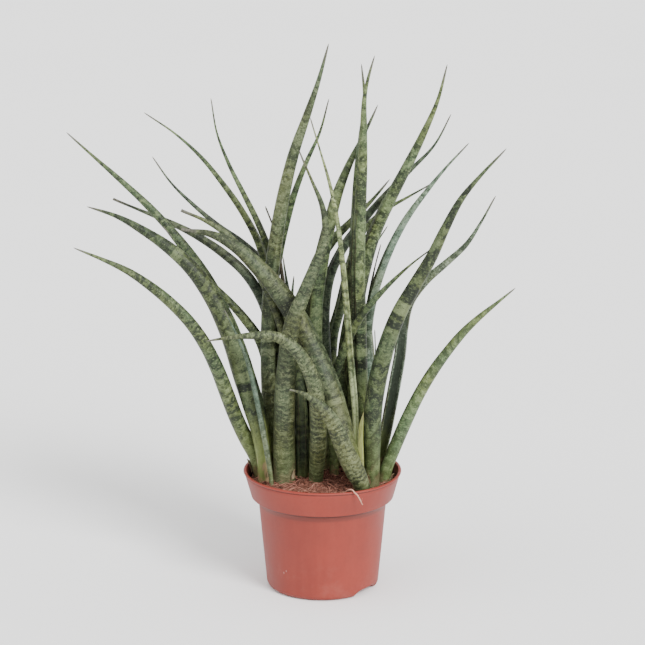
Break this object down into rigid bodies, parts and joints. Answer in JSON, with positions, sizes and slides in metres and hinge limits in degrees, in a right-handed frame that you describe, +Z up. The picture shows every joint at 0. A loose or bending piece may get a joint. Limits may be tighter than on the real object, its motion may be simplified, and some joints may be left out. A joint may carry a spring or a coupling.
{
  "type": "potted snake plant",
  "caption": "Potted cylindrical snake plant: a fountain of long, pointed, banded leaves rising from coir in a round plastic nursery pot with a rim band.",
  "frame": {"origin": "centre of the pot's underside", "axes": "+Z up along the pot's axis; the front, with the big slanting leaf, faces -Y"},
  "size_m": [0.3339, 0.1818, 0.4113],
  "materials": {
    "terracotta_plastic": "matte terracotta-coloured polypropylene",
    "coir": "moist reddish-brown coir with roots",
    "coir_fibre": "dry coir fibre",
    "leaf_green": "waxy leaf, dark bands on grey-green",
    "leaf_olive": "waxy leaf, fine brown-olive bands",
    "leaf_dark": "waxy leaf, deep green",
    "leaf_blue_green": "waxy leaf, pale blue-green",
    "leaf_dry": "dry brown leaf"
  },
  "bodies": {
    "root": {"leaf_back_left": "leaf_green", "leaf_back_mid": "leaf_green", "leaf_back_right": "leaf_olive", "leaf_back_short": "leaf_olive", "leaf_front_arch": "leaf_olive", "leaf_front_bent": "leaf_olive", "leaf_front_big": "leaf_olive", "leaf_front_inner": "leaf_green", "leaf_front_short": "leaf_olive", "leaf_left_big": "leaf_green", "leaf_left_dark": "leaf_dark", "leaf_left_dry": "leaf_dry", "leaf_left_high": "leaf_green", "leaf_left_low": "leaf_green", "leaf_left_mid": "leaf_green", "leaf_left_slant": "leaf_green", "leaf_left_spear": "leaf_olive", "leaf_left_teal": "leaf_blue_green", "leaf_left_thin": "leaf_dark", "leaf_left_upright": "leaf_green", "leaf_mid_behind_tall": "leaf_green", "leaf_mid_dark": "leaf_dark", "leaf_mid_oblique": "leaf_green", "leaf_mid_pale": "leaf_blue_green", "leaf_mid_slant": "leaf_green", "leaf_mid_upright": "leaf_green", "leaf_right_back": "leaf_green", "leaf_right_big": "leaf_green", "leaf_right_blue": "leaf_blue_green", "leaf_right_dry": "leaf_dry", "leaf_right_far": "leaf_dark", "leaf_right_high": "leaf_green", "leaf_right_inner": "leaf_green", "leaf_right_low": "leaf_green", "leaf_right_open": "leaf_blue_green", "leaf_right_small": "leaf_green", "leaf_right_tall": "leaf_green", "leaf_right_tall_behind": "leaf_green", "leaf_tall": "leaf_olive", "loose_coir_fibre": "coir_fibre", "pot": "terracotta_plastic", "soil": "coir"}
  },
  "joints": []
}
